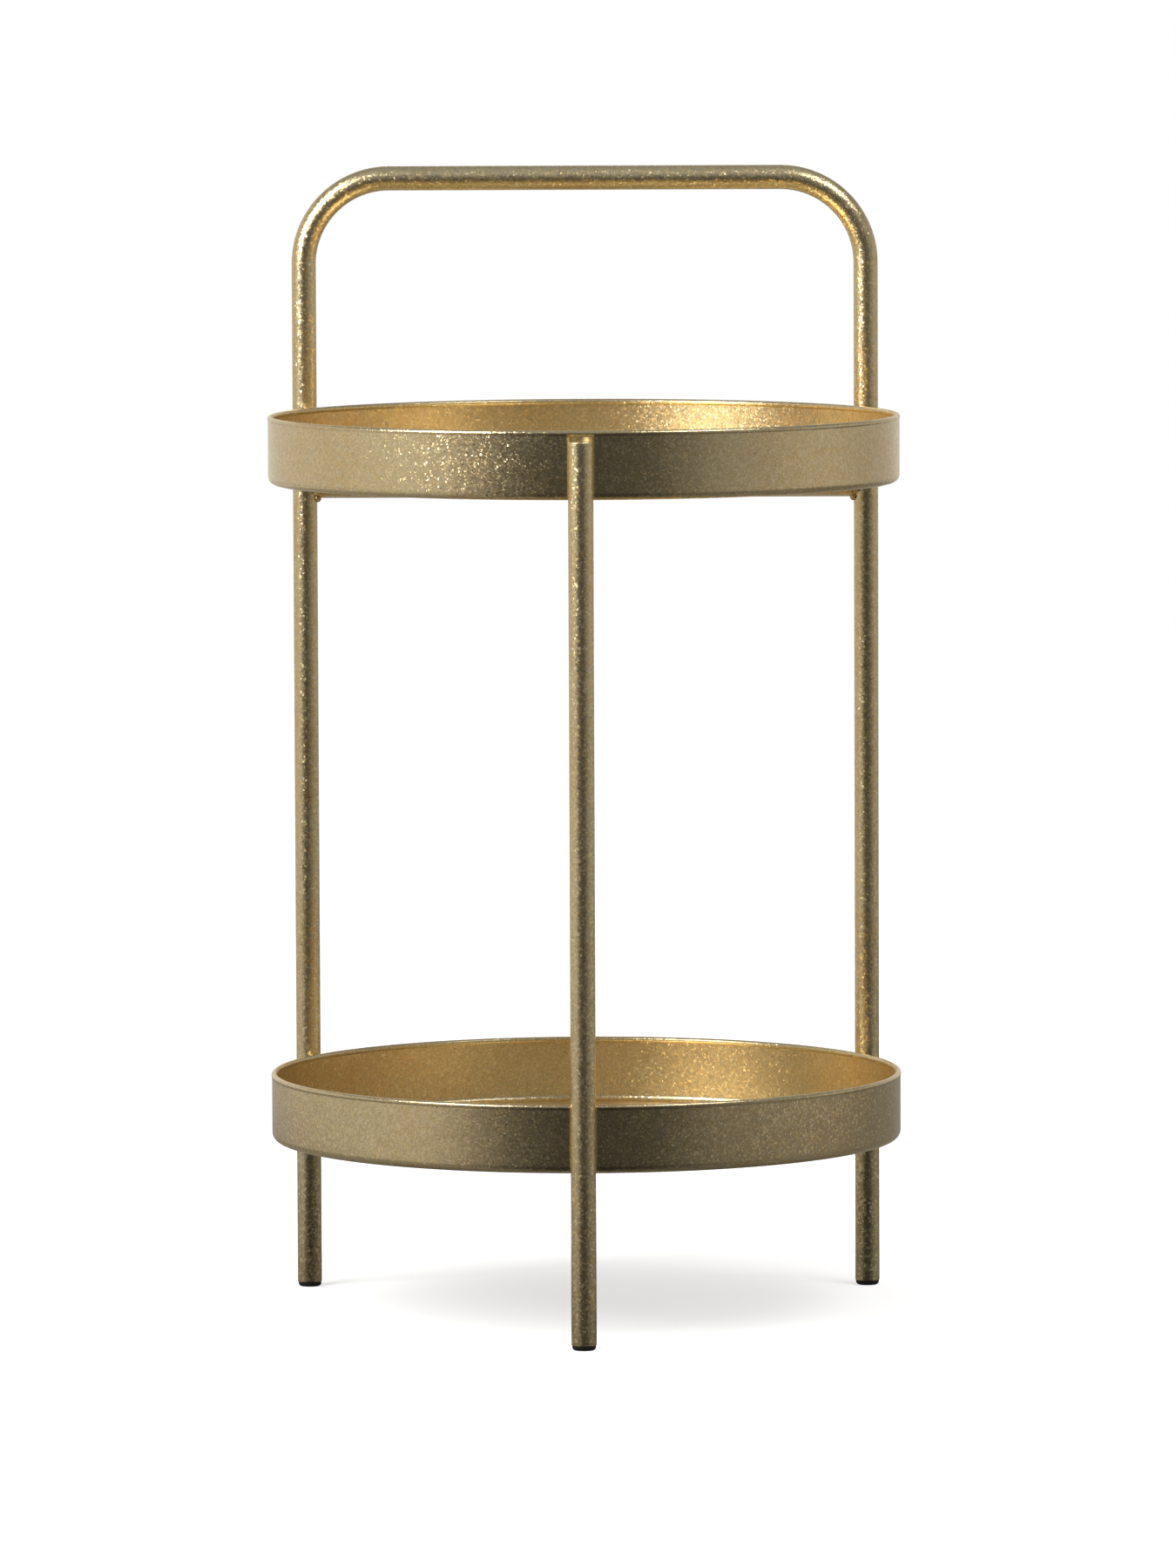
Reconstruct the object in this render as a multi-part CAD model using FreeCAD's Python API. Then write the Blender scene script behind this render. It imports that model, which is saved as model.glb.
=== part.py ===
import FreeCAD, Part
import math
import os

# A two-tier side table of welded iron. Two round dishes hang one above the other between three round tubes.
# The two rear legs and the carrying handle are one tube with two bends, and the front leg is a straight tube
# that stops just under the rolled rim of the upper dish. A cross tube between the rear legs carries each dish at the back.
#
# Millimetres. +Z is up, the front leg is towards -Y and the handle runs along X. The origin is on the floor,
# under the middle of the table's footprint.

# Driving dimensions

tube_diameter = 16.0
tube_wall = 1.2
handle_top = 740.0               # floor to the top of the handle bar
handle_bend_radius = 56.0        # on the tube's centre line
leg_spacing_degrees = 120.0      # from one leg to the next, round the trays

tray_diameter = 410.0            # over the rolled rim, the widest place
tray_height = 44.0               # underside to the top of the rim
tray_sheet = 0.8
tray_corner_radius = 5.0         # outside, between wall and underside
rim_roll_diameter = 3.8          # the sheet's edge is rolled into a round bead
rim_stand_out = 0.4              # how far the roll stands out from the wall, outside the dish
lower_tray_base = 111.0          # floor to the underside of the lower tray
upper_tray_base = 538.0          # floor to the underside of the upper tray

front_leg_drop = 6.5             # the front leg's capped end is this far below the upper rim
cap_thickness = 1.5
cap_edge_radius = 0.8

plug_flange_height = 3.2         # the black part that shows under each tube
plug_flange_inset = 0.4          # step from the tube's outside to the flange
plug_edge_radius = 2.2           # rounding of the edge that stands on the floor
plug_shank_length = 14.0
plug_shank_relief = 0.7          # radial gap between the shank and the tube, bridged by the fins
plug_fin_count = 3
plug_fin_thickness = 1.2

tray_weld_reach = 0.8            # how far the beads on a tray's wall stand out beside the tube
tray_weld_end = 2.0              # the beads end this far above the tray's underside
cross_weld_throat = 2.1          # through the middle of the bead in the corner under a cross tube
cross_weld_taper = 0.5           # the bead runs out this far short of the tube's flanks

# Sizes that follow

tube_radius = tube_diameter / 2
tube_bore_radius = tube_radius - tube_wall
tray_radius = tray_diameter / 2
wall_radius = tray_radius - rim_stand_out
roll_radius = rim_roll_diameter / 2
roll_centre_radius = tray_radius - roll_radius

# Each leg stands against the rolled rims of both trays.
leg_circle_radius = tray_radius + tube_radius
leg_foot = plug_flange_height
handle_axis_height = handle_top - tube_radius
bend_height = handle_axis_height - handle_bend_radius
front_leg_top = upper_tray_base + tray_height - front_leg_drop

# The front leg stands out in front of the trays and nothing stands out behind them, so the trays' common axis
# is a little behind the middle of the footprint.
tray_axis_y = (leg_circle_radius + tube_radius - tray_radius) / 2

UP = FreeCAD.Vector(0, 0, 1)
RIGHT = FreeCAD.Vector(1, 0, 0)
BACK = FreeCAD.Vector(0, 1, 0)


def leg_axis(turns):
    """The foot of a leg's centre line, so many leg spacings round from the front leg."""
    angle = math.radians(-90 + turns * leg_spacing_degrees)
    x = leg_circle_radius * math.cos(angle)
    y = leg_circle_radius * math.sin(angle) + tray_axis_y
    return FreeCAD.Vector(x, y, 0)


front_axis = leg_axis(0)
right_axis = leg_axis(1)
left_axis = leg_axis(-1)


def at_height(point, z):
    return FreeCAD.Vector(point.x, point.y, z)


# Tubes


def tube_section(centre, direction):
    """The ring-shaped section of the tube, square to a direction."""
    outside = Part.Wire(Part.Circle(centre, direction, tube_radius).toShape())
    bore = Part.Wire(Part.Circle(centre, direction, tube_bore_radius).toShape())
    return Part.Face(outside).cut(Part.Face(bore))


def straight_tube(start, end):
    run = end - start
    return tube_section(start, run).extrude(run)


def outside_of_tube(start, end):
    run = end - start
    return Part.makeCylinder(tube_radius, run.Length, start, run)


def leg_outside(axis):
    """The space inside a leg's outer surface, over the leg's whole height."""
    return outside_of_tube(axis, at_height(axis, handle_top))


def bend(leg, towards):
    """A quarter turn from the top of a rear leg into the handle bar. towards is +1 where the bar lies at +X."""
    start = at_height(leg, bend_height)
    centre = start + RIGHT * (towards * handle_bend_radius)
    return tube_section(start, UP).revolve(centre, BACK * towards, 90)


def make_handle_frame():
    """Rear left leg, bend, handle bar, bend and rear right leg, in one tube."""
    bar_start = at_height(left_axis, handle_axis_height) + RIGHT * handle_bend_radius
    bar_end = at_height(right_axis, handle_axis_height) - RIGHT * handle_bend_radius
    left_leg = straight_tube(at_height(left_axis, leg_foot), at_height(left_axis, bend_height))
    right_leg = straight_tube(at_height(right_axis, leg_foot), at_height(right_axis, bend_height))
    bar = straight_tube(bar_start, bar_end)
    return left_leg.fuse([bend(left_axis, 1), bar, bend(right_axis, -1), right_leg]).removeSplitter()


def make_front_leg():
    top = at_height(front_axis, front_leg_top - cap_thickness)
    return straight_tube(at_height(front_axis, leg_foot), top)


def make_front_leg_cap():
    """A disc on the end of the front leg, dressed to a small radius all round its top."""
    base = at_height(front_axis, front_leg_top - cap_thickness)
    disc = Part.makeCylinder(tube_radius, cap_thickness, base)
    top_edges = [edge for edge in disc.Edges if edge.BoundBox.ZMin > base.z + cap_thickness / 2]
    return disc.makeFillet(cap_edge_radius, top_edges)


def make_cross_tube(tray_base):
    """A tube from leg to leg under a tray, with both ends cut to the round of the legs."""
    height = tray_base - tube_radius
    tube = straight_tube(at_height(left_axis, height), at_height(right_axis, height))
    return tube.cut([leg_outside(left_axis), leg_outside(right_axis)])


# Trays


def tray_point(radius, z):
    """A point of a tray's section, in the plane through the trays' axis."""
    return FreeCAD.Vector(radius, tray_axis_y, z)


def arc_round(radius, z, size, start_degrees, end_degrees):
    """An arc of a tray's section about (radius, z)."""
    points = []
    for share in (0, 0.5, 1):
        angle = math.radians(start_degrees + share * (end_degrees - start_degrees))
        points.append(tray_point(radius + size * math.cos(angle), z + size * math.sin(angle)))
    return Part.Arc(*points).toShape()


def line(start, end):
    return Part.LineSegment(start, end).toShape()


def turned(edges):
    """The solid that a closed section makes when it is turned about the trays' axis."""
    section = Part.Face(Part.Wire(edges))
    return section.revolve(tray_point(0, 0), UP, 360)


def angle_under_roll(face_radius):
    """How far below level, in degrees, the roll's round meets the wall's inner or outer face."""
    return math.degrees(math.acos((face_radius - roll_centre_radius) / roll_radius))


def height_under_roll(face_radius, base):
    """The height at which the wall's inner or outer face runs into the roll."""
    drop = math.sqrt(roll_radius**2 - (face_radius - roll_centre_radius) ** 2)
    return base + tray_height - roll_radius - drop


def outer_edges(base):
    """A tray's outside below the roll: underside, corner and wall."""
    flat_radius = wall_radius - tray_corner_radius
    wall_foot = base + tray_corner_radius
    wall_top = height_under_roll(wall_radius, base)
    return [
        line(tray_point(0, base), tray_point(flat_radius, base)),
        arc_round(flat_radius, wall_foot, tray_corner_radius, -90, 0),
        line(tray_point(wall_radius, wall_foot), tray_point(wall_radius, wall_top)),
    ]


def make_tray(base):
    """A dish whose edge is rolled into a round bead, most of it inside the wall."""
    rim = base + tray_height
    inner_radius = wall_radius - tray_sheet
    flat_radius = wall_radius - tray_corner_radius
    wall_foot = base + tray_corner_radius
    floor = base + tray_sheet

    # The roll runs from the wall's outer face over the top and back underneath to its inner face.
    roll_start = -angle_under_roll(wall_radius)
    roll_end = 360 - angle_under_roll(inner_radius)
    wall_top = height_under_roll(inner_radius, base)
    inner_edges = [
        arc_round(roll_centre_radius, rim - roll_radius, roll_radius, roll_start, roll_end),
        line(tray_point(inner_radius, wall_top), tray_point(inner_radius, wall_foot)),
        arc_round(flat_radius, wall_foot, tray_corner_radius - tray_sheet, 0, -90),
        line(tray_point(flat_radius, floor), tray_point(0, floor)),
        line(tray_point(0, floor), tray_point(0, base)),
    ]
    return turned(outer_edges(base) + inner_edges)


def tray_block(base):
    """All the space inside a tray's outer surface, up to the roll."""
    top = height_under_roll(wall_radius, base)
    closing = [
        line(tray_point(wall_radius, top), tray_point(0, top)),
        line(tray_point(0, top), tray_point(0, base)),
    ]
    return turned(outer_edges(base) + closing)


# Welds


def make_tray_weld(leg, base):
    """The two beads that fill the corners between a leg and a tray's wall, from the tray's foot to its roll."""
    low = base + tray_weld_end
    high = base + tray_height - rim_roll_diameter
    outward = FreeCAD.Vector(leg.x, leg.y - tray_axis_y, 0).normalize()
    centre = outward * wall_radius + FreeCAD.Vector(0, tray_axis_y, low)
    beads = Part.makeCylinder(tube_radius + tray_weld_reach, high - low, centre)
    return beads.cut([leg_outside(leg), tray_block(base)])


def make_cross_weld(leg, base):
    """The bead in the lower corner between a cross tube's end and a leg.

    Two tubes of one size meet in an ellipse that lies aslant. The bead is what a slightly larger ellipse, drawn
    out across the corner, leaves outside both tubes.
    """
    inward = RIGHT * (-1 if leg.x > 0 else 1)
    crossing = at_height(leg, base - tube_radius)
    into_corner = (inward - UP).normalize()
    across_corner = (inward + UP).normalize()
    start = crossing - across_corner * tube_radius
    long_end = start + into_corner * (tube_radius * math.sqrt(2) + cross_weld_throat)
    short_end = start + BACK * (tube_radius - cross_weld_taper)
    outline = Part.Face(Part.Wire(Part.Ellipse(long_end, short_end, start).toShape()))
    bead = outline.extrude(across_corner * tube_diameter)
    corner = crossing + inward * tube_diameter - UP * tube_diameter
    low = FreeCAD.Vector(min(crossing.x, corner.x), crossing.y - tube_radius, corner.z)
    bead = bead.common(Part.makeBox(tube_diameter, tube_diameter, tube_diameter, low))
    return bead.cut([leg_outside(leg), outside_of_tube(crossing, crossing + inward * tube_diameter)])


def make_cross_welds(base):
    return Part.makeCompound([make_cross_weld(left_axis, base), make_cross_weld(right_axis, base)])


# Foot plugs


def make_foot_plug(axis):
    """A moulded plug: a flange under the tube's end, with a rounded edge, and a finned shank up its bore."""
    flange_radius = tube_radius - plug_flange_inset
    shank_radius = tube_bore_radius - plug_shank_relief
    flange = Part.makeCylinder(flange_radius, plug_flange_height, axis)
    floor_edges = [edge for edge in flange.Edges if edge.BoundBox.ZMax < plug_flange_height / 2]
    flange = flange.makeFillet(plug_edge_radius, floor_edges)
    pieces = [Part.makeCylinder(shank_radius, plug_shank_length, at_height(axis, plug_flange_height))]
    fin_pitch = plug_shank_length / (plug_fin_count + 1)
    for number in range(1, plug_fin_count + 1):
        fin_foot = plug_flange_height + number * fin_pitch - plug_fin_thickness / 2
        pieces.append(Part.makeCylinder(tube_bore_radius, plug_fin_thickness, at_height(axis, fin_foot)))
    return flange.fuse(pieces).removeSplitter()


# The pieces, by name

pieces = {
    "handle_frame": make_handle_frame(),
    "front_leg": make_front_leg(),
    "front_leg_cap": make_front_leg_cap(),
}

for tier, base in (("lower", lower_tray_base), ("upper", upper_tray_base)):
    pieces[tier + "_tray"] = make_tray(base)
    pieces[tier + "_cross_tube"] = make_cross_tube(base)
    pieces[tier + "_cross_welds"] = make_cross_welds(base)

for side, axis in (("front", front_axis), ("left", left_axis), ("right", right_axis)):
    pieces[side + "_foot_plug"] = make_foot_plug(axis)
    for tier, base in (("lower", lower_tray_base), ("upper", upper_tray_base)):
        pieces[side + "_" + tier + "_weld"] = make_tray_weld(axis, base)

os.makedirs("parts", exist_ok=True)
for name, shape in pieces.items():
    shape.exportStep("parts/" + name + ".step")
    print(name, "solids", len(shape.Solids), "valid", shape.isValid(), "volume", round(shape.Volume, 1))
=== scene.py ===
# %% [markdown]
# # A tiered side table in gilded steel
#
# Two shallow round trays hang one above the other between three tube legs, and the rear legs run up and over
# as the carrying handle. Everything but the black foot plugs is covered in champagne-coloured metal leaf.
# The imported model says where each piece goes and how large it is, and this lesson dresses it: every piece is
# modelled again with a fine smooth mesh, because a mirror-like metal shows each facet of a coarse one.

# %% Load the frame
import math
import random

import bmesh
import bpy
from mathutils import Matrix, Vector


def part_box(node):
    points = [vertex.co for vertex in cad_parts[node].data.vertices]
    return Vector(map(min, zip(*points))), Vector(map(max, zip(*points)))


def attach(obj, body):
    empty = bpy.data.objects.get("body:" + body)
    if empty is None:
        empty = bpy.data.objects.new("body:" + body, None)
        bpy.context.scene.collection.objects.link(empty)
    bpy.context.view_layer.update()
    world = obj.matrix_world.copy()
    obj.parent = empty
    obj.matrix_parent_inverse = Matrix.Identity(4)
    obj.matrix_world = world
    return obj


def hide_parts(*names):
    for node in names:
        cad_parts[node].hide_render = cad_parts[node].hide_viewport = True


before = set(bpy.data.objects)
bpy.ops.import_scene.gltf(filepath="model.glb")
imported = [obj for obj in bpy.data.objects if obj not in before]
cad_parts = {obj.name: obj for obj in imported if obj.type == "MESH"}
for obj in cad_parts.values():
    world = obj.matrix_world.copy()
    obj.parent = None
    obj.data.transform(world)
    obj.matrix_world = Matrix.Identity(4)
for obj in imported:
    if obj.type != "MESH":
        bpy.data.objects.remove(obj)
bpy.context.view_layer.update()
mm = 0.001
print("nodes in the frame:", ", ".join(sorted(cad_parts)))

# %% [markdown]
# ## Where things are
#
# The sizes of stock, such as the tube and the sheet, are written once here. Places could be typed in as
# well, but they come from the frame's own boxes, so a piece lands where the model has it and nothing has to
# be fitted by eye.

# %% Sizes and places
tube_radius = 8 * mm
tube_wall = 1.2 * mm
handle_bend_radius = 56 * mm
sheet = 0.8 * mm
roll_radius = 1.9 * mm           # the bead that each tray's edge is rolled into
roll_stand_out = 0.4 * mm        # how far the bead stands out from the tray's wall
tray_corner_radius = 5 * mm


def middle(node):
    """The middle of a node's box."""
    low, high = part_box(node)
    return (low + high) / 2


leg_axes = {side: middle(side + "_foot_plug") for side in ("front", "left", "right")}
tray_axis = middle("upper_tray")
tray_radius = (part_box("upper_tray")[1].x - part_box("upper_tray")[0].x) / 2
tray_middle = tray_axis.z
handle_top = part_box("handle_frame")[1].z
tube_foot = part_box("front_leg")[0].z
print("tray radius", round(tray_radius / mm, 1), "mm, handle top", round(handle_top / mm, 1), "mm")

# %% [markdown]
# ## The camera
#
# The table is seen from the front and a little from above, from about seven metres, through a long lens that
# keeps the upright legs almost parallel. A constraint could aim the camera at a point. The heading, the tilt
# and a trace of roll are given as angles instead, because each can then be changed by itself, and three
# turns multiplied together make the camera's rotation.

# %% Camera
camera_distance = 7.1725
camera_height = 0.9471
camera_turn = math.radians(0.548)      # round the table, to the right
camera_heading = math.radians(0.533)
camera_tilt = math.radians(4.825)      # downwards
camera_roll = math.radians(-0.23)
film_width = 36                        # millimetres, as is the lens
camera_lens = 254.4

bpy.ops.object.select_all(action="DESELECT")
camera_x = camera_distance * math.sin(camera_turn)
camera_y = tray_axis.y - camera_distance * math.cos(camera_turn)
bpy.ops.object.camera_add(location=(camera_x, camera_y, camera_height))
camera = bpy.context.object
camera.name = "camera"
turned = Matrix.Rotation(camera_heading, 3, "Z") @ Matrix.Rotation(math.radians(90) - camera_tilt, 3, "X")
camera.rotation_euler = (turned @ Matrix.Rotation(camera_roll, 3, "Z")).to_euler()
camera.data.sensor_width = film_width
camera.data.lens = camera_lens
camera.data.clip_end = 100
camera.data.dof.use_dof = False
bpy.context.scene.camera = camera
bpy.context.scene.view_settings.view_transform = "Standard"
print("camera at", tuple(round(value, 3) for value in camera.location))

# %% [markdown]
# ## One function for nodes, one for colours
#
# A material is a small machine of nodes. Writing each one out takes four lines, so one function makes a
# node, sets its properties and fills or links its sockets. Colours are picked as the hex codes that any
# paint program shows. Blender computes in linear light, so another function turns them.


# %% Colours
def colour(hex_code):
    """An sRGB hex code as linear red, green, blue and alpha."""
    channels = [int(hex_code[place:place + 2], 16) / 255 for place in (1, 3, 5)]
    linear = [c / 12.92 if c <= 0.04045 else ((c + 0.055) / 1.055) ** 2.4 for c in channels]
    return (*linear, 1)


def grey(level):
    """A grey of a linear brightness, as red, green, blue and alpha."""
    return (level, level, level, 1)


print("paper white is", grey(1), "and middle grey", tuple(round(value, 3) for value in colour("#808080")))


# %% Nodes
def add_node(tree, kind, sockets=None, stops=None, **settings):
    """Adds a node. sockets fills inputs, by name or number, with a value or a link from another node."""
    made = tree.nodes.new("ShaderNode" + kind)
    for name, value in settings.items():
        setattr(made, name, value)
    for name, value in (sockets or {}).items():
        if isinstance(value, bpy.types.NodeSocket):
            tree.links.new(value, made.inputs[name])
        else:
            made.inputs[name].default_value = value
    for place, (position, shade) in enumerate(stops or []):
        stop = made.color_ramp.elements[place] if place < 2 else made.color_ramp.elements.new(position)
        stop.position = position
        stop.color = shade
    return made


def new_material(name):
    """An empty material and its node tree."""
    material = bpy.data.materials.new(name)
    material.use_nodes = True
    material.node_tree.nodes.clear()
    return material, material.node_tree


def per_mm(size):
    """The scale of a pattern whose features are that many millimetres apart."""
    return 1000 / size


print("a pattern of 2 mm has a scale of", per_mm(2))

# %% [markdown]
# ## Light
#
# Metal has hardly any colour of its own: it shows what stands round it. Real panels could be set up round
# the table, but each would need its place and would show its edges. So the studio is given as brightness by
# direction, in a table that is quick to read and to change. Its walls are a warm white. They are bright
# behind the table, two thirds as bright to the left, half as bright to the right and dim behind the camera,
# which puts the dark band down the middle of every tube.

# %% How bright the room is, by direction
wall_light = {      # degrees from the camera's side, positive to the right, and brightness
    -180: 0.85, -149: 0.58, -120: 0.56, -100: 0.54, -82: 0.57, -64: 0.57, -50: 0.48, -38: 0.27,
    -26: 0.125, -14: 0.065, 0: 0.045, 14: 0.06, 26: 0.08, 38: 0.17, 50: 0.27, 66: 0.34, 84: 0.43,
    105: 0.46, 125: 0.37, 150: 0.46, 180: 0.85,
}
warm_white = (1.0, 0.965, 0.92, 1)      # the walls' paint
ceiling = (0.15, 0.31)                  # its brightness just over the walls and straight above
cool_white = (0.94, 1.0, 1.08, 1)       # daylight from above

# Heights of a direction: -1 is straight down, 0 is level and 1 is straight up.
wall_top = (-0.04, 0.30)                # from the first to the second, the walls turn into the ceiling
taller_behind = (0.42, 0.27)            # how much higher both are behind the table, left and right
ceiling_edge = 0.2                      # the ceiling brightens from here upwards

# How far a direction points backwards, and to the right: -1 to 1.
back_edge = (-0.25, 0.25)               # from the first to the second, the walls' top rises
side_edge = (-0.4, 0.4)                 # from the first to the second, the left rise turns into the right one


def light_round(tree, way, levels):
    """The walls' light in the direction of a vector: a brightness by degrees, in the walls' own white."""
    parts = add_node(tree, "SeparateXYZ", {0: way}).outputs
    towards = add_node(tree, "Math", {0: parts["Y"], 1: -1.0}, operation="MULTIPLY").outputs[0]
    angle = add_node(tree, "Math", {0: parts["X"], 1: towards}, operation="ARCTAN2").outputs[0]
    share = add_node(tree, "MapRange", {"Value": angle, "From Min": -math.pi, "From Max": math.pi}).outputs[0]
    stops = [(degrees / 360 + 0.5, grey(level)) for degrees, level in levels.items()]
    level = add_node(tree, "ValToRGB", {"Fac": share}, stops=stops).outputs["Color"]
    return add_node(tree, "Mix", {0: 1.0, 6: level, 7: warm_white}, data_type="RGBA",
                    blend_type="MULTIPLY").outputs[2]


print("the walls in", len(wall_light), "directions, up to", max(wall_light.values()))

# %% [markdown]
# Over the walls is a ceiling. It is cooler and brightens towards the zenith, as under a skylight. It could
# begin at one height all round, but behind the table it begins higher, so that the upper sides of tubes and
# rims mirror the bright wall there.

# %% Walls and ceiling
world = bpy.data.worlds.new("studio")
bpy.context.scene.world = world
world.use_nodes = True
sky = world.node_tree
sky.nodes.clear()
way = add_node(sky, "TexCoord").outputs["Generated"]
parts = add_node(sky, "SeparateXYZ", {0: way}).outputs
walls = light_round(sky, way, wall_light)
above = add_node(sky, "MapRange", {"Value": parts["Z"], "From Min": ceiling_edge,
                                   "To Min": ceiling[0], "To Max": ceiling[1]}).outputs[0]
above = add_node(sky, "Mix", {0: 1.0, 6: above, 7: cool_white}, data_type="RGBA",
                 blend_type="MULTIPLY").outputs[2]
behind = add_node(sky, "MapRange", {"Value": parts["Y"], "From Min": back_edge[0],
                                    "From Max": back_edge[1]}).outputs[0]
taller = add_node(sky, "MapRange", {"Value": parts["X"], "From Min": side_edge[0], "From Max": side_edge[1],
                                    "To Min": taller_behind[0], "To Max": taller_behind[1]}).outputs[0]
rise = add_node(sky, "Math", {0: behind, 1: taller}, operation="MULTIPLY").outputs[0]
over = add_node(sky, "Math", {0: parts["Z"], 1: rise}, operation="SUBTRACT").outputs[0]
upwards = add_node(sky, "MapRange", {"Value": over, "From Min": wall_top[0],
                                     "From Max": wall_top[1]}).outputs[0]
room = add_node(sky, "Mix", {0: upwards, 6: walls, 7: above}, data_type="RGBA").outputs[2]
print("room made of", len(sky.nodes), "nodes")

# %% [markdown]
# The camera has to see plain white past the table, and the metal has to see the room. The Light Path node
# tells their rays apart, so both can be had at once. Matt surfaces get an even fill from all sides.

# %% What each kind of ray sees
fill_light = 0.60

path = add_node(sky, "LightPath").outputs
seen = add_node(sky, "Mix", {0: path["Is Camera Ray"], 6: room, 7: grey(1.0)}, data_type="RGBA").outputs[2]
backdrop = add_node(sky, "Background", {"Color": seen, "Strength": 1.0}).outputs[0]
fill = add_node(sky, "Background", {"Color": grey(fill_light), "Strength": 1.0}).outputs[0]
shown = add_node(sky, "Math", {0: path["Is Camera Ray"], 1: path["Is Glossy Ray"]},
                 operation="MAXIMUM").outputs[0]
shown = add_node(sky, "Math", {0: shown, 1: path["Is Transmission Ray"]}, operation="MAXIMUM").outputs[0]
mixed = add_node(sky, "MixShader", {0: shown, 1: fill, 2: backdrop}).outputs[0]
add_node(sky, "OutputWorld", {"Surface": mixed})
print("world made of", len(sky.nodes), "nodes")

# %% [markdown]
# The room alone lights the metal too evenly. It could be given a bright patch, but a patch far away lights
# every height alike. So two soft boxes stand in the room. The large one at the left front is near and far
# brighter than the walls, and its lower edge is above the trays. The outsides of the trays and the legs show
# it only in their grain, as sparkle, while the rolled rims, the bends and the back walls inside the trays
# turn towards it and flare up. The small one at the right front draws a fainter line of light along the rims
# on that side.


# %% Soft boxes
def soft_box(name, azimuth, distance, height, width, tall, watts, aim_height):
    """A rectangular lamp. azimuth is counted from the camera's side, positive to the right of the table."""
    angle = math.radians(azimuth)
    place = Vector((distance * math.sin(angle), -distance * math.cos(angle), height))
    aim = Vector((tray_axis.x, tray_axis.y, aim_height))
    bpy.ops.object.light_add(type="AREA", location=place)
    lamp = bpy.context.object
    lamp.name = name
    lamp.data.shape = "RECTANGLE"
    lamp.data.size = width
    lamp.data.size_y = tall
    lamp.data.energy = watts
    lamp.rotation_euler = (aim - place).to_track_quat("-Z", "Y").to_euler()
    lamp.visible_camera = False


soft_box("key_soft_box", azimuth=-53, distance=1.5, height=1.6, width=1.05, tall=1.6, watts=26,
         aim_height=1.6)
soft_box("side_soft_box", azimuth=54, distance=1.2, height=1.9, width=0.9, tall=0.8, watts=8,
         aim_height=0.5)

# %% [markdown]
# ## The floor
#
# The table stands on a matt, nearly white floor that has no end in sight. It could curve up into a backdrop,
# but the world behind it is white already, so a flat square does.

# %% Floor
floor_half = 6.0

bpy.ops.mesh.primitive_plane_add(size=2 * floor_half, location=(0, 0, 0))
floor = bpy.context.object
floor.name = "floor"
bpy.ops.object.transform_apply(location=True, rotation=True, scale=True)
print("floor", 2 * floor_half, "m across")

# %% [markdown]
# A brighter lamp could whiten the floor, but it would burn out the metal. For the camera the floor is lifted
# to the white of the backdrop with a little light of its own instead. That light is added to the shaded
# floor, so the table's shadow stays. In the metal the floor shows the walls that stand beyond it: a glossy
# ray passes through it into the room and is dimmed on the way. So the floor is dim there towards the camera,
# brighter to the sides, brightest at the left front where the large soft box lights it, and dark in the
# table's own shade.

# %% Floor paint
floor_glow = 0.58             # lifts the lit floor to the white of the backdrop
dim_side = (0.5, 0.5, 0)      # a place on the floor behind the table, to the right, away from the lamps
floor_shows = {     # metres from that place, and the share of the room's light that the metal sees there
    1.05: 0.42, 1.20: 0.54, 1.50: 0.60, 1.85: 1.0, 2.3: 0.9, 3.0: 0.76, 5.2: 1.0,
}
table_shade = (0.12, 0.30)    # metres from the middle, between which the table's own shade fades
shade_depth = 0.35            # the share of light that is left in it

material, tree = new_material("matt_white_floor_paint")
place = add_node(tree, "TexCoord").outputs["Object"]
matt = add_node(tree, "BsdfDiffuse", {"Color": colour("#e4e4e2"), "Roughness": 0.6}).outputs[0]

# What the camera sees, and what lights other things.
path = add_node(tree, "LightPath").outputs
glow = add_node(tree, "Emission", {"Color": colour("#ffffff"), "Strength": floor_glow}).outputs[0]
lift = add_node(tree, "MixShader", {0: path["Is Camera Ray"], 2: glow}).outputs[0]
both = add_node(tree, "AddShader", {0: matt, 1: lift}).outputs[0]

# What the metal sees.
reach = add_node(tree, "VectorMath", {0: place, 1: dim_side}, operation="DISTANCE").outputs["Value"]
share = add_node(tree, "MapRange", {"Value": reach, "From Max": floor_half}).outputs[0]
stops = [(metres / floor_half, grey(level)) for metres, level in floor_shows.items()]
dimmed = add_node(tree, "ValToRGB", {"Fac": share}, stops=stops).outputs["Color"]
under = add_node(tree, "VectorMath", {0: place}, operation="LENGTH").outputs["Value"]
under = add_node(tree, "MapRange", {"Value": under, "From Min": table_shade[0], "From Max": table_shade[1],
                                    "To Min": shade_depth}).outputs[0]
dimmed = add_node(tree, "Mix", {0: 1.0, 6: dimmed, 7: under}, data_type="RGBA",
                  blend_type="MULTIPLY").outputs[2]
mirrored = add_node(tree, "BsdfTransparent", {"Color": dimmed}).outputs[0]
surface = add_node(tree, "MixShader", {0: path["Is Glossy Ray"], 1: both, 2: mirrored}).outputs[0]
add_node(tree, "OutputMaterial", {"Surface": surface})
floor.data.materials.append(material)
print("floor paint made of", len(tree.nodes), "nodes")

# %% [markdown]
# ## Metal leaf
#
# The steel is blasted, then covered with champagne metal leaf and a satin lacquer. Leaf is so thin that it
# takes every grain of what it is laid on. A picture of real leaf could be wrapped round the pieces, but it
# would show seams, so the leaf is computed from patterns in space. It is made in parts, one in each of the
# next cells: where the leaf lies differently, its colour, its relief and its grain.
#
# Inside a tray, where the brush reaches badly, the leaf lies looser and is duller. The distance from the
# trays' axis tells the inside of a wall from its outside. Beside the front leg two leaves overlap, and there
# it is crumpled.

# %% Where the leaf lies differently
inner_face = (tray_radius - 0.6 * mm, tray_radius - 1.2 * mm)      # the change lies within the wall
overlap = (-75 * mm, tray_axis.y - tray_radius, tray_middle)
overlap_fades = (40 * mm, 100 * mm)                                # from there


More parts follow.
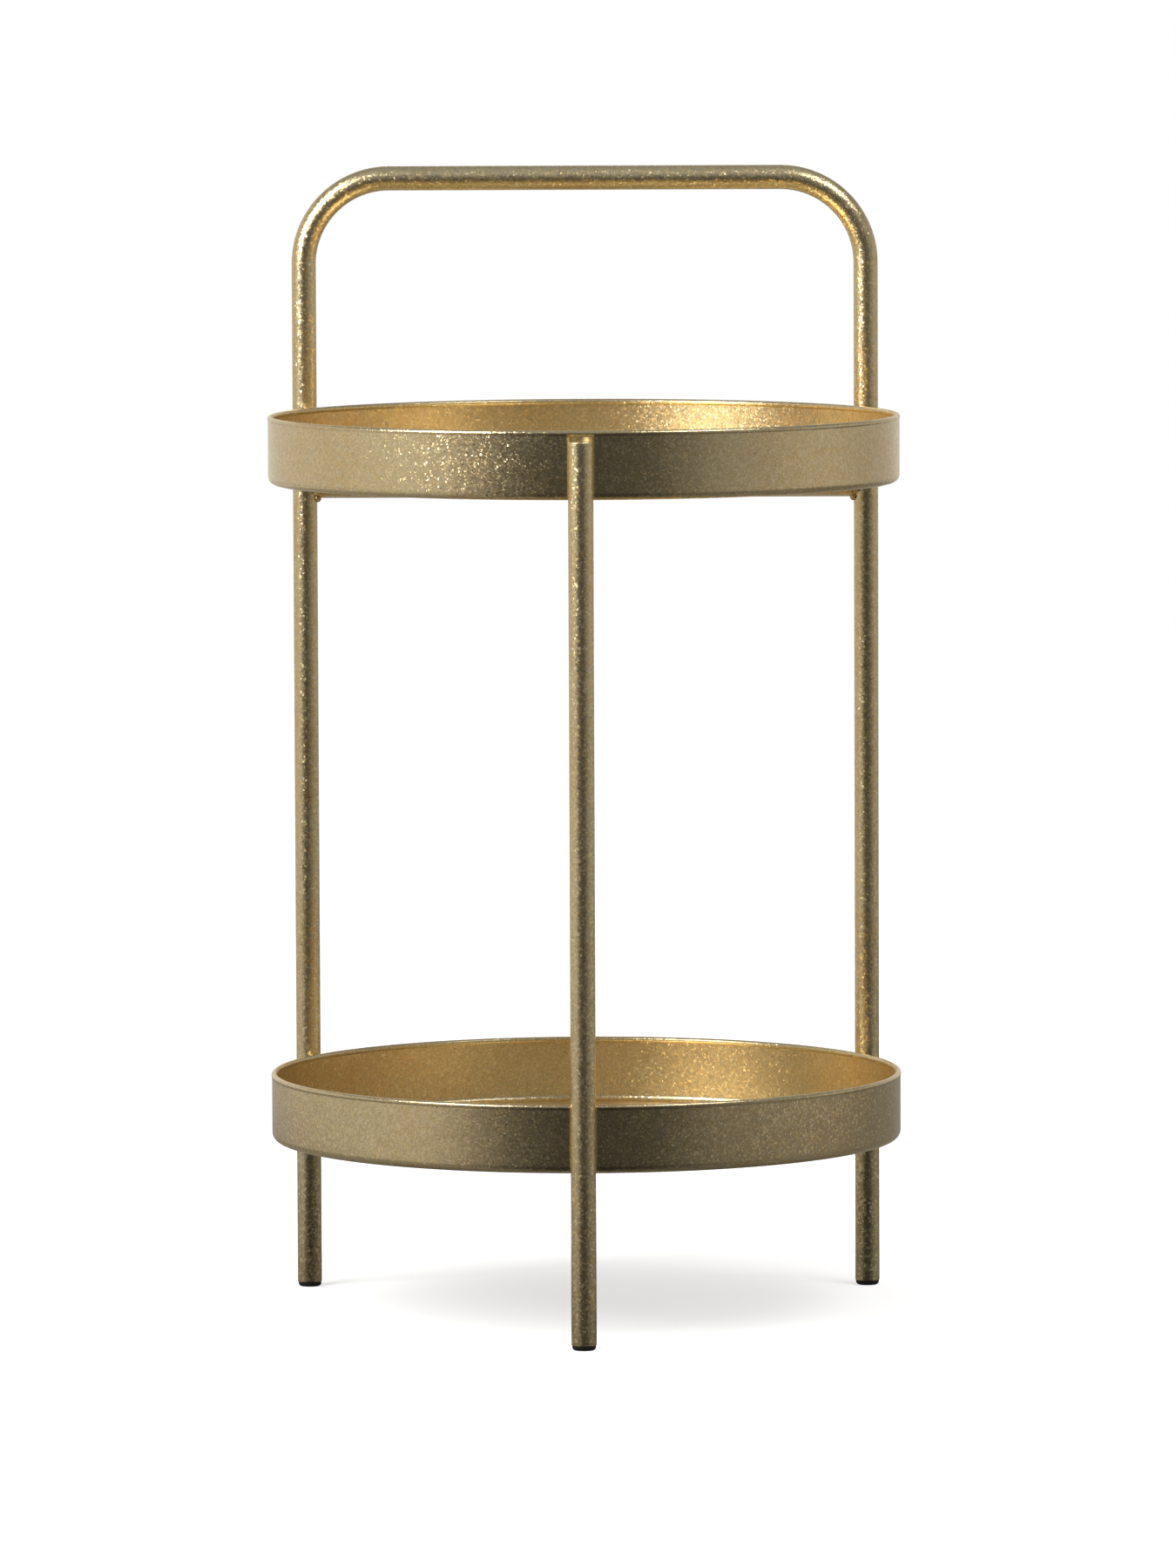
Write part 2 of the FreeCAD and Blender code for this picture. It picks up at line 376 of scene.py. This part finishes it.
def inside_trays(tree, place):
    """1 inside the trays and 0 outside them."""
    flat = add_node(tree, "VectorMath", {0: place, 1: (1, 1, 0)}, operation="MULTIPLY").outputs[0]
    reach = add_node(tree, "VectorMath", {0: flat, 1: (tray_axis.x, tray_axis.y, 0)}, operation="DISTANCE")
    return add_node(tree, "MapRange", {"Value": reach.outputs["Value"], "From Min": inner_face[0],
                                       "From Max": inner_face[1]}).outputs[0]


print("inside a tray means nearer its axis than", round(inner_face[1] / mm, 1), "mm")

# %% [markdown]
# One flat colour would look like paint. So the colour drifts in broad clouds between gold and copper, where
# the glue under the leaf shows through. On them lies a finer mottle of pale gold, where the leaf is doubled.
# Here and there the leaf has a pin hole, half a millimetre across.

# %% Colour of the leaf
cloud_size = 45
mottle_size = 3.5
hole_spacing = 9
hole_radius = (0.030, 0.055)      # as shares of the spacing: dark to here, and gone from here
hole_shade = "#3a2c1c"


def leaf_colour(tree, place, mottle, pale, body, copper):
    """Body colour with clouds of copper, a mottle of the pale colour, and pin holes."""
    clouds = add_node(tree, "TexNoise", {"Vector": place, "Scale": per_mm(cloud_size),
                                         "Detail": 3.0}).outputs["Fac"]
    warm = add_node(tree, "MapRange", {"Value": clouds, "From Min": 0.40, "From Max": 0.66}).outputs[0]
    light = add_node(tree, "MapRange", {"Value": mottle, "From Min": 0.42, "From Max": 0.75}).outputs[0]
    base = add_node(tree, "Mix", {0: warm, 6: colour(body), 7: colour(copper)}, data_type="RGBA").outputs[2]
    base = add_node(tree, "Mix", {0: light, 6: base, 7: colour(pale)}, data_type="RGBA").outputs[2]
    holes = add_node(tree, "TexVoronoi", {"Vector": place, "Scale": per_mm(hole_spacing)}).outputs["Distance"]
    hole = add_node(tree, "MapRange", {"Value": holes, "From Min": hole_radius[0], "From Max": hole_radius[1],
                                       "To Min": 1.0, "To Max": 0.0}).outputs[0]
    return add_node(tree, "Mix", {0: hole, 6: base, 7: colour(hole_shade)}, data_type="RGBA").outputs[2]


print("clouds of", cloud_size, "mm, mottle of", mottle_size, "mm, a pin hole every", hole_spacing, "mm")

# %% [markdown]
# Real relief would take millions of faces, and bumps that only turn the light look the same at this depth.
# There are three of them, each laid on the one before: the soft unevenness of the steel, creases from
# brushing the leaf down, and the lines that spinning left round the trays and drawing left along the tubes.
# Real lines are about 0.3 mm apart. They are drawn 1.6 mm apart here, because finer ones would not show.

# %% Relief of the leaf
swell_size = 14
swell_height = 0.15 * mm
line_spacing = 1.6
line_height = 0.02 * mm


def leaf_relief(tree, place, creases, crease_height, lines):
    """The bumped normal under the grain. The lines run along the axes whose number in lines is small."""
    swell = add_node(tree, "TexNoise", {"Vector": place, "Scale": per_mm(swell_size),
                                        "Detail": 1.0}).outputs["Fac"]
    bump = add_node(tree, "Bump", {"Height": swell, "Distance": swell_height}).outputs[0]
    crease = add_node(tree, "TexNoise", {"Vector": place, "Scale": per_mm(creases), "Detail": 2.0,
                                         "Distortion": 1.2}).outputs["Fac"]
    bump = add_node(tree, "Bump", {"Height": crease, "Distance": crease_height, "Normal": bump}).outputs[0]
    drawn = add_node(tree, "VectorMath", {0: place, 1: lines}, operation="MULTIPLY").outputs[0]
    line = add_node(tree, "TexNoise", {"Vector": drawn, "Scale": per_mm(line_spacing),
                                       "Detail": 1.0}).outputs["Fac"]
    return add_node(tree, "Bump", {"Height": line, "Distance": line_height, "Normal": bump}).outputs[0]


print("swell", round(swell_height / mm, 2), "mm high, lines", round(line_height / mm, 2), "mm")

# %% [markdown]
# Blasting makes the surface a field of facets. Most lie nearly flat and give the satin, and a few stand at a
# steep tilt and flash when the lamp is near. A bump of fine noise could stand for them, but its slopes are
# too much alike to flash. So a Voronoi pattern gives each facet a random colour, which is read as the way it
# leans. A second random number says how far it leans, and a power of it makes steep ones rare. The same
# number makes the facet a little lighter or darker, as a fleck. Real facets are about 0.3 mm across. They
# are drawn a millimetre across, so that they show.

# %% Grain of the leaf
rareness = 1.1            # the higher, the fewer facets stand steep
fleck_contrast = 0.15


def leaf_grain(tree, place, within, grain, tilt, loose, crumpled):
    """How each facet leans, as a vector to add to the normal, and its fleck, as a share of the colour."""
    facet = add_node(tree, "TexVoronoi", {"Vector": place, "Scale": per_mm(grain)}).outputs
    chance = add_node(tree, "TexWhiteNoise", {"Vector": facet["Position"]}).outputs["Value"]
    fleck = add_node(tree, "MapRange", {"Value": chance, "To Min": 1 - fleck_contrast,
                                        "To Max": 1 + fleck_contrast}).outputs[0]
    chance = add_node(tree, "Math", {0: chance, 1: rareness}, operation="POWER").outputs[0]
    lean = add_node(tree, "VectorMath", {0: facet["Color"], 1: (0.5, 0.5, 0.5)},
                    operation="SUBTRACT").outputs[0]
    away = add_node(tree, "VectorMath", {0: place, 1: overlap}, operation="DISTANCE").outputs["Value"]
    steep = add_node(tree, "MapRange", {
        "Value": away, "From Min": overlap_fades[0], "From Max": overlap_fades[1],
        "To Min": 2 * tilt * crumpled, "To Max": 2 * tilt,
    }).outputs[0]
    steeper = add_node(tree, "MapRange", {"Value": within, "To Min": 1.0, "To Max": loose}).outputs[0]
    steep = add_node(tree, "Math", {0: steep, 1: steeper}, operation="MULTIPLY").outputs[0]
    steep = add_node(tree, "Math", {0: chance, 1: steep}, operation="MULTIPLY").outputs[0]
    lean = add_node(tree, "VectorMath", {0: lean, "Scale": steep}, operation="SCALE").outputs[0]
    return lean, fleck


print("flecks are up to", fleck_contrast, "lighter or darker")

# %% [markdown]
# The parts make one finish in three kinds. On the trays it is smoothest. The tubes' leaf is laid round a
# tight curve and is grainier, and over the welds it is dull. Three materials could be written out, but one
# function that takes only what differs keeps them alike. Where the leaf is doubled it is a little smoother.

# %% Leaf on tray, tube and weld
smoother_doubled = 0.04      # how much the roughness goes down where the leaf is doubled, and up elsewhere


def metal_leaf(name, pale, body, copper, grain, tilt, creases, crease_height, rough, lines,
               inside=0.0, loose=1.0, crumpled=1.0):
    """Champagne metal leaf. grain and creases are sizes in millimetres, and tilt is the slope of the steepest
    facets. Inside the trays, inside is added to the roughness and the grain is loose times as steep. Where two
    leaves overlap, it is crumpled times as steep."""
    material, tree = new_material(name)
    place = add_node(tree, "TexCoord").outputs["Object"]
    mottle = add_node(tree, "TexNoise", {"Vector": place, "Scale": per_mm(mottle_size),
                                         "Detail": 4.0}).outputs["Fac"]
    within = inside_trays(tree, place)
    base = leaf_colour(tree, place, mottle, pale, body, copper)
    bump = leaf_relief(tree, place, creases, crease_height, lines)
    lean, fleck = leaf_grain(tree, place, within, grain, tilt, loose, crumpled)
    base = add_node(tree, "Mix", {0: 1.0, 6: base, 7: fleck}, data_type="RGBA",
                    blend_type="MULTIPLY").outputs[2]
    satin = add_node(tree, "MapRange", {
        "Value": mottle, "From Min": 0.3, "From Max": 0.7,
        "To Min": rough + smoother_doubled, "To Max": rough - smoother_doubled,
    }).outputs[0]
    duller = add_node(tree, "Math", {0: within, 1: inside}, operation="MULTIPLY").outputs[0]
    satin = add_node(tree, "Math", {0: satin, 1: duller}, operation="ADD").outputs[0]
    tilted = add_node(tree, "VectorMath", {0: bump, 1: lean}, operation="ADD").outputs[0]
    tilted = add_node(tree, "VectorMath", {0: tilted}, operation="NORMALIZE").outputs[0]
    shader = add_node(tree, "BsdfPrincipled", {"Base Color": base, "Metallic": 1.0, "Roughness": satin,
                                               "Normal": tilted})
    add_node(tree, "OutputMaterial", {"Surface": shader.outputs[0]})
    return material


tray_leaf = metal_leaf(
    "champagne_leaf_on_spun_steel", pale="#f0dfb8", body="#ecd7a5", copper="#ecd09c", grain=1.0, tilt=0.095,
    creases=3.0, crease_height=0.02 * mm, rough=0.21, lines=(0.04, 0.04, 1),
    inside=0.09, loose=1.35, crumpled=1.6,
)
tube_leaf = metal_leaf(
    "champagne_leaf_on_steel_tube", pale="#f0dfb8", body="#ead5a3", copper="#eace9a", grain=1.1, tilt=0.18,
    creases=1.2, crease_height=0.03 * mm, rough=0.30, lines=(1, 1, 0.04),
)
weld_leaf = metal_leaf(
    "champagne_leaf_over_weld_bead", pale="#dcc89e", body="#d0b884", copper="#ccb080", grain=1.0, tilt=0.12,
    creases=2.5, crease_height=0.06 * mm, rough=0.38, lines=(1, 1, 1),
)
print("leaf materials:", [item.name for item in (tray_leaf, tube_leaf, weld_leaf)])

# %% [markdown]
# ## Black plugs
#
# The plugs under the legs are polyethylene, moulded black. The mould is spark-eroded, so the surface has a
# fine even grain, and the plastic under it is slightly waxy: dark, with a broad weak highlight. One flat
# black would look like paint here too, so a bump gives the grain and a slow noise the handling. The real
# grain is about 0.1 mm, and it is drawn at half a millimetre, because a finer one would not show.

# %% Moulded black polyethylene
erosion_size = 0.5
wear_size = 6

plug_material, tree = new_material("moulded_black_polyethylene")
place = add_node(tree, "TexCoord").outputs["Object"]
erosion = add_node(tree, "TexNoise", {"Vector": place, "Scale": per_mm(erosion_size),
                                      "Detail": 2.0}).outputs["Fac"]
wear = add_node(tree, "TexNoise", {"Vector": place, "Scale": per_mm(wear_size), "Detail": 3.0}).outputs["Fac"]
shade = add_node(tree, "Mix", {0: wear, 6: colour("#141414"), 7: colour("#232220")},
                 data_type="RGBA").outputs[2]
dull = add_node(tree, "MapRange", {"Value": wear, "To Min": 0.42, "To Max": 0.62}).outputs[0]
bump = add_node(tree, "Bump", {"Height": erosion, "Distance": 0.04 * mm}).outputs[0]
shader = add_node(tree, "BsdfPrincipled", {"Base Color": shade, "Roughness": dull, "IOR": 1.51,
                                           "Normal": bump})
add_node(tree, "OutputMaterial", {"Surface": shader.outputs[0]})
print("plug material:", plug_material.name)

# %% [markdown]
# ## Tools for the modelling
#
# Each piece starts as a primitive at its place and is shaped in edit mode. Operators act on whatever is
# selected, so two helpers keep that in hand: one starts a piece with nothing else selected, and one selects
# points by a test on where they are. The next ones extrude what is selected, apply a modifier, turn faces
# outwards and copy a piece that the table has more than once.


# %% Start a piece and select on it
def start(add_primitive, name, **settings):
    """Adds a primitive as the only selected object, puts its place in its mesh and opens it for editing."""
    bpy.ops.object.select_all(action="DESELECT")
    add_primitive(**settings)
    piece = bpy.context.object
    piece.name = name
    piece.data.name = name
    bpy.ops.object.transform_apply(location=True, rotation=True, scale=True)
    bpy.ops.object.mode_set(mode="EDIT")
    bpy.ops.mesh.select_mode(type="VERT")
    bpy.ops.mesh.select_all(action="SELECT")
    return piece


def select_points(test):
    """In edit mode, selects the points that pass the test, and nothing else."""
    bpy.ops.mesh.select_all(action="DESELECT")
    cage = bmesh.from_edit_mesh(bpy.context.object.data)
    for point in cage.verts:
        point.select = test(point.co)
    cage.select_flush_mode()
    bmesh.update_edit_mesh(bpy.context.object.data)


print("helpers: start, select_points")

# %% Shape a piece
same_point = 0.004 * mm      # points that are closer together than this are one point


def extrude(move):
    """Extrudes what is selected by a vector and leaves the new end selected."""
    bpy.ops.mesh.extrude_region_move(TRANSFORM_OT_translate={"value": move})


def apply_modifier(piece, kind, **settings):
    """Adds a modifier to a piece in object mode and applies it."""
    modifier = piece.modifiers.new(kind, kind)
    for name, value in settings.items():
        setattr(modifier, name, value)
    bpy.context.view_layer.objects.active = piece
    bpy.ops.object.modifier_apply(modifier=modifier.name)


def face_outwards():
    """In edit mode, merges doubled points and turns every face outwards."""
    bpy.ops.mesh.select_all(action="SELECT")
    bpy.ops.mesh.remove_doubles(threshold=same_point)
    bpy.ops.mesh.normals_make_consistent(inside=False)


def copy_of(piece, name, move):
    """A copy of a modelled piece with its own mesh, moved by a vector."""
    bpy.ops.object.select_all(action="DESELECT")
    piece.select_set(True)
    bpy.context.view_layer.objects.active = piece
    bpy.ops.object.duplicate(linked=False)
    bpy.ops.transform.translate(value=move)
    bpy.ops.object.transform_apply(location=True, rotation=True, scale=True)
    twin = bpy.context.object
    twin.name = name
    twin.data.name = name
    return twin


print("helpers: extrude, apply_modifier, face_outwards, copy_of")

# %% [markdown]
# The last helper finishes a piece: smooth shading and material, and it hides the nodes of the frame that the
# piece stands in for. Smooth shading alone would bend the reflections all along a tube, because of the narrow
# bevel at its end. Weighted normals let each large face keep its own direction.

# %% Finish a piece
crease_angle = math.radians(35)      # edges sharper than this stay sharp


def finish_piece(piece, material, slot, *nodes):
    """Shades a piece smooth, gives it its material, hides the CAD nodes that it stands in for and hangs it
    under the root body.
    """
    bpy.ops.object.select_all(action="DESELECT")
    piece.select_set(True)
    bpy.context.view_layer.objects.active = piece
    bpy.ops.object.shade_smooth_by_angle(angle=crease_angle)
    apply_modifier(piece, "WEIGHTED_NORMAL", keep_sharp=True)
    piece.data.materials.clear()
    piece.data.materials.append(material)
    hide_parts(*nodes)
    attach(piece, "root")
    low = [min(point.co[axis] for point in piece.data.vertices) for axis in range(3)]
    high = [max(point.co[axis] for point in piece.data.vertices) for axis in range(3)]
    sizes = [round((b - a) / mm, 1) for a, b in zip(low, high)]
    print(piece.name, len(piece.data.polygons), "faces,", sizes, "mm")


print("helper: finish_piece")

# %% [markdown]
# ## The trays
#
# The real tray is spun: a disc of sheet turns on a lathe and is pressed over a block, and its edge is curled
# into a bead. A cylinder could be inset and bevelled into a dish, but its rim would not curl under.
# Blender's spin operator does to a line what the lathe does to the sheet. So the tray's section is drawn
# from the middle of the floor to the end of the curl and spun once round, and Solidify gives it the
# thickness of the sheet. Both trays come off one block, so the lower one is a copy.

# %% The section of a tray
corner_steps = 9              # the pieces that each stretch is cut into
wall_steps = 9
hollow_steps = 4
curl_steps = 26
floor_rings = (0, 0.04, 0.15, 0.3, 0.45, 0.6, 0.75, 0.9)      # as shares of the flat floor's radius
hollow_radius = 2.0 * mm      # where the wall turns out into the curl, to make the change soft
curl_end = 284                # the curl goes round to here, in degrees


def arc(centre, radius, begin, end, steps):
    """Points on an arc about centre, in a tray's section, from one angle to another in degrees."""
    angles = [math.radians(begin + (end - begin) * step / steps) for step in range(steps + 1)]
    return [(centre[0] + radius * math.cos(angle), centre[1] + radius * math.sin(angle)) for angle in angles]


def tray_section(base, rim):
    """The middle line of the sheet, as distances from the tray's axis and heights."""
    wall = tray_radius - roll_stand_out - sheet / 2
    floor_level = base + sheet / 2
    corner = tray_corner_radius - sheet / 2
    corner_centre = (wall - corner, floor_level + corner)
    curl = roll_radius - sheet / 2
    curl_centre = (tray_radius - roll_radius, rim - roll_radius)

    # The hollow touches the wall and the curl.
    reach = wall + hollow_radius - curl_centre[0]
    drop = math.sqrt((curl + hollow_radius) ** 2 - reach ** 2)
    turn = math.degrees(math.atan2(drop, reach))
    hollow_centre = (wall + hollow_radius, curl_centre[1] - drop)

    points = [(share * corner_centre[0], floor_level) for share in floor_rings]
    points += arc(corner_centre, corner, -90, 0, corner_steps)
    low, high = corner_centre[1], hollow_centre[1]
    points += [(wall, low + (high - low) * step / wall_steps) for step in range(1, wall_steps)]
    points += arc(hollow_centre, hollow_radius, 180, 180 - turn, hollow_steps)
    points += arc(curl_centre, curl, -turn, curl_end, curl_steps)[1:]
    return points


upper_base, upper_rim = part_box("upper_tray")
section = tray_section(upper_base.z, upper_rim.z)
print("the section of a tray has", len(section), "points")

# %% Spin the trays
tray_sides = 384

middle_of_floor = (tray_axis.x, tray_axis.y, section[0][1])
upper_tray = start(bpy.ops.mesh.primitive_plane_add, "upper_tray_leafed", size=mm, location=middle_of_floor)
bpy.ops.mesh.merge(type="CENTER")
for before, after in zip(section, section[1:]):
    extrude((after[0] - before[0], 0, after[1] - before[1]))
bpy.ops.mesh.select_all(action="SELECT")
bpy.ops.mesh.spin(steps=tray_sides, angle=math.radians(360), center=(tray_axis.x, tray_axis.y, 0),
                  axis=(0, 0, 1))
face_outwards()
bpy.ops.object.mode_set(mode="OBJECT")
apply_modifier(upper_tray, "SOLIDIFY", thickness=sheet, offset=0.0)
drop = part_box("lower_tray")[0].z - upper_base.z
lower_tray = copy_of(upper_tray, "lower_tray_leafed", (0, 0, drop))
finish_piece(upper_tray, tray_leaf, "gilded_tray", "upper_tray")
finish_piece(lower_tray, tray_leaf, "gilded_tray", "lower_tray")

# %% [markdown]
# ## The handle frame
#
# Both rear legs and the handle bar are one tube, bent twice. A curve with a round profile could make it in
# one step. Extrude and spin are used here because they work as a tube bender does: the ring of the tube's
# outside is extruded up the left leg, spun a quarter turn through the first bend, extruded along the bar and
# so on down to the right foot. Solidify gives the wall inside that skin, and the cut ends are broken with a
# tiny bevel, as a deburred tube's are.

# %% Rings and walls of a tube
tube_sides = 64
end_bevel = 0.3 * mm


def start_tube(name, foot):
    """A ring of the tube's outside at the foot of a leg, all selected."""
    return start(bpy.ops.mesh.primitive_circle_add, name, vertices=tube_sides, radius=tube_radius,
                 location=foot)


def give_wall(tube):
    """Closes the outside skin, gives the tube its wall on the inside and bevels its cut ends."""
    face_outwards()
    bpy.ops.object.mode_set(mode="OBJECT")
    apply_modifier(tube, "SOLIDIFY", thickness=tube_wall, offset=-1.0)
    apply_modifier(tube, "BEVEL", width=end_bevel, segments=2, limit_method="ANGLE",
                   angle_limit=math.radians(60))


print("tubes of", tube_sides, "sides, with a wall of", round(tube_wall / mm, 1), "mm")

# %% Handle frame
bend_steps = 24

left, right = leg_axes["left"], leg_axes["right"]
axis_height = handle_top - tube_radius
bend_height = axis_height - handle_bend_radius
handle = start_tube("handle_frame_leafed", (left.x, left.y, tube_foot))
extrude((0, 0, bend_height - tube_foot))
bend_centre = (left.x + handle_bend_radius, left.y, bend_height)
quarter = math.radians(-90)
bpy.ops.mesh.spin(steps=bend_steps, angle=quarter, center=bend_centre, axis=(0, 1, 0))
extrude((right.x - left.x - 2 * handle_bend_radius, 0, 0))
bend_centre = (right.x - handle_bend_radius, right.y, bend_height)
bpy.ops.mesh.spin(steps=bend_steps, angle=quarter, center=bend_centre, axis=(0, 1, 0))
extrude((0, 0, tube_foot - bend_height))
give_wall(handle)
finish_piece(handle, tube_leaf, "gilded_tube", "handle_frame")

# %% [markdown]
# ## The front leg and its cap
#
# The front leg is a straight tube that stops just under the upper tray's rim. A disc closes it there, and
# its edge is dressed round before the leaf goes on. The tube's own end could be filled instead, but a disc
# can be rounded at the top and stay sharp at the joint. It is a cylinder whose top rim is bevelled.

# %% Front leg
front = leg_axes["front"]
front_low, front_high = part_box("front_leg")
leg = start_tube("front_leg_leafed", (front.x, front.y, front_low.z))
extrude((0, 0, front_high.z - front_low.z))
give_wall(leg)
finish_piece(leg, tube_leaf, "gilded_tube", "front_leg")

# %% Front leg cap
cap_low, cap_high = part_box("front_leg_cap")
cap_depth = cap_high.z - cap_low.z
cap_rounding = 0.8 * mm
rounding_steps = 6
cap = start(bpy.ops.mesh.primitive_cylinder_add, "front_leg_cap_leafed", vertices=tube_sides,
            radius=tube_radius, depth=cap_depth, location=(front.x, front.y, cap_low.z + cap_depth / 2))
select_points(lambda point: point.z > cap_low.z + cap_depth / 2)
bpy.ops.mesh.bevel(offset=cap_rounding, segments=rounding_steps, profile=0.5, affect="EDGES")
face_outwards()
bpy.ops.object.mode_set(mode="OBJECT")
finish_piece(cap, tube_leaf, "gilded_tube", "front_leg_cap")

# %% [markdown]
# ## The cross tubes
#
# A short tube under each tray joins the rear legs and carries the tray at the back. Its ends could run
# straight into the legs, but real ones are coped: they are cut to the round of the legs and seat on them.
# Two leg-sized cylinders cut them as a hole saw would. The lower tube is a copy of the upper one.

# %% Cross tubes
lying = (0, math.radians(90), 0)      # turns an upright primitive to lie along X


def cut_with_cylinder(piece, radius, sides, centre, depth, turned=(0, 0, 0)):
    """Cuts a cylinder out of a piece. It stands upright unless it is turned."""
    cutter = start(bpy.ops.mesh.primitive_cylinder_add, "cutter", vertices=sides, radius=radius, depth=depth,
                   location=centre, rotation=turned)
    bpy.ops.object.mode_set(mode="OBJECT")
    apply_modifier(piece, "BOOLEAN", operation="DIFFERENCE", object=cutter, solver="EXACT")
    bpy.data.objects.remove(cutter)


upper_height = middle("upper_cross_tube").z
down_a_tier = (0, 0, middle("lower_cross_tube").z - upper_height)
upper_cross = start(bpy.ops.mesh.primitive_circle_add, "upper_cross_tube_leafed", vertices=tube_sides,
                    radius=tube_radius, location=(left.x, left.y, upper_height), rotation=lying)
extrude((right.x - left.x, 0, 0))
face_outwards()
bpy.ops.object.mode_set(mode="OBJECT")
apply_modifier(upper_cross, "SOLIDIFY", thickness=tube_wall, offset=-1.0)
for axis in (left, right):
    cut_with_cylinder(upper_cross, tube_radius, tube_sides, (axis.x, axis.y, upper_height), 6 * tube_radius)
lower_cross = copy_of(upper_cross, "lower_cross_tube_leafed", down_a_tier)
finish_piece(upper_cross, tube_leaf, "gilded_tube", "upper_cross_tube")
finish_piece(lower_cross, tube_leaf, "gilded_tube", "lower_cross_tube")

# %% [markdown]
# ## The welds
#
# Beside each leg, two beads fill the corners between the tube and a tray's wall. A bead is laid in small
# overlaps, which stay as faint ripples under the leaf. It could be swept along its corner, but then its
# sides would have to be fitted to two round surfaces. So a cylinder a little wider than the tube is built up
# ring by ring, each a touch wider or narrower than the last, and the tube and the tray are cut out of it.
# What is left are the beads. No two real welds are alike, so each gets ripples of its own.

# %% Weld beads on the trays
weld_reach = 0.8 * mm
ripple_pitch = 1.6 * mm
ripple = 0.12 * mm
bead_sides = 96
past_all = 200 * mm           # a cutter of this length sticks out of every bead
wall_radius = tray_radius - roll_stand_out
dice = random.Random(11)

for side, axis in leg_axes.items():
    for tier in ("upper", "lower"):
        node = side + "_" + tier + "_weld"
        low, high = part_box(node)
        outward = Vector((axis.x - tray_axis.x, axis.y - tray_axis.y, 0)).normalized()
        centre = tray_axis + outward * wall_radius
        rings = round((high.z - low.z) / ripple_pitch)
        pitch = (high.z - low.z) / rings
        bead = start(bpy.ops.mesh.primitive_circle_add, node + "_leafed", vertices=bead_sides,
                     radius=tube_radius + weld_reach - ripple, fill_type="NGON",
                     location=(centre.x, centre.y, low.z))
        for ring in range(rings):
            extrude((0, 0, pitch))
            wide = 1 + (ripple if ring % 2 else -ripple) * dice.uniform(0.3, 1.0) / tube_radius
            bpy.ops.transform.resize(value=(wide, wide, 1), center_override=(centre.x, centre.y, low.z))
        face_outwards()
        bpy.ops.object.mode_set(mode="OBJECT")
        middle_height = (low.z + high.z) / 2
        cut_with_cylinder(bead, tube_radius, tube_sides, (axis.x, axis.y, middle_height), past_all)
        cut_with_cylinder(bead, wall_radius, tray_sides, (tray_axis.x, tray_axis.y, middle_height), past_all)
        finish_piece(bead, weld_leaf, "weld_bead", node)

# %% [markdown]
# Under each end of a cross tube, a small bead fills the lower corner against the leg. A ring round the whole
# joint would run into the tray above. So it starts as a ball drawn out along the seam, and both tubes are
# cut out of it.

# %% Weld beads under the cross tubes
cross_bead_radius = 2.7 * mm
along_seam = 1.9              # how many times longer than thick a bead is

beads = []
for axis, inward in ((left, 1), (right, -1)):
    seat = axis.x + inward * tube_radius
    corner = (seat, axis.y, upper_height - tube_radius)
    bead = start(bpy.ops.mesh.primitive_uv_sphere_add, "cross_bead", segments=48, ring_count=32,
                 radius=cross_bead_radius, location=corner)
    bpy.ops.transform.resize(value=(1, along_seam, 1), center_override=corner)
    bpy.ops.object.mode_set(mode="OBJECT")
    cut_with_cylinder(bead, tube_radius, tube_sides, (axis.x, axis.y, upper_height), past_all)
    cut_with_cylinder(bead, tube_radius, tube_sides, (seat, axis.y, upper_height), past_all, turned=lying)
    beads.append(bead)
bpy.ops.object.select_all(action="DESELECT")
for bead in beads:
    bead.select_set(True)
upper_beads = beads[0]
bpy.context.view_layer.objects.active = upper_beads
bpy.ops.object.join()
upper_beads.name = "upper_cross_welds_leafed"
lower_beads = copy_of(upper_beads, "lower_cross_welds_leafed", down_a_tier)
finish_piece(upper_beads, weld_leaf, "weld_bead", "upper_cross_welds")
finish_piece(lower_beads, weld_leaf, "weld_bead", "lower_cross_welds")

# %% [markdown]
# ## The foot plugs
#
# A plug is moulded: a flange with a rounded edge that the leg stands on, and a shank with thin fins that
# grips the bore. It could be spun from a section, as the trays are. Extruding it step by step keeps each
# part's size a number of its own: the flange is a disc with its lower rim bevelled, the shank is inset and
# extruded from its top, and each fin is an extrusion that is scaled out and in again. One plug is modelled,
# and the others are copies.

# %% Foot plugs
flange_height = 3.2 * mm
flange_radius = 7.6 * mm
flange_rounding = 2.2 * mm
bore_radius = tube_radius - tube_wall
shank_radius = bore_radius - 0.7 * mm
fin_thickness = 1.2 * mm
fins = 3
plug_sides = 48

plug_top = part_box("front_foot_plug")[1].z
plug = start(bpy.ops.mesh.primitive_cylinder_add, "front_foot_plug_moulded", vertices=plug_sides,
             radius=flange_radius, depth=flange_height, location=(front.x, front.y, flange_height / 2))
select_points(lambda point: point.z < flange_height / 2)
bpy.ops.mesh.bevel(offset=flange_rounding, segments=rounding_steps, profile=0.5, affect="EDGES")
select_points(lambda point: point.z > flange_height - same_point)
bpy.ops.mesh.inset(thickness=flange_radius - shank_radius)
gap = (plug_top - flange_height - fins * fin_thickness) / (fins + 1)
grow = bore_radius / shank_radius
extrude((0, 0, gap))
for fin in range(fins):
    extrude((0, 0, 0))
    bpy.ops.transform.resize(value=(grow, grow, 1), center_override=(front.x, front.y, 0))
    extrude((0, 0, fin_thickness))
    extrude((0, 0, 0))
    bpy.ops.transform.resize(value=(1 / grow, 1 / grow, 1), center_override=(front.x, front.y, 0))
    extrude((0, 0, gap))
face_outwards()
bpy.ops.object.mode_set(mode="OBJECT")
plugs = {"front": plug}
for side in ("left", "right"):
    plugs[side] = copy_of(plug, side + "_foot_plug_moulded", leg_axes[side] - front)
for side, plug in plugs.items():
    finish_piece(plug, plug_material, "black_plug", side + "_foot_plug")
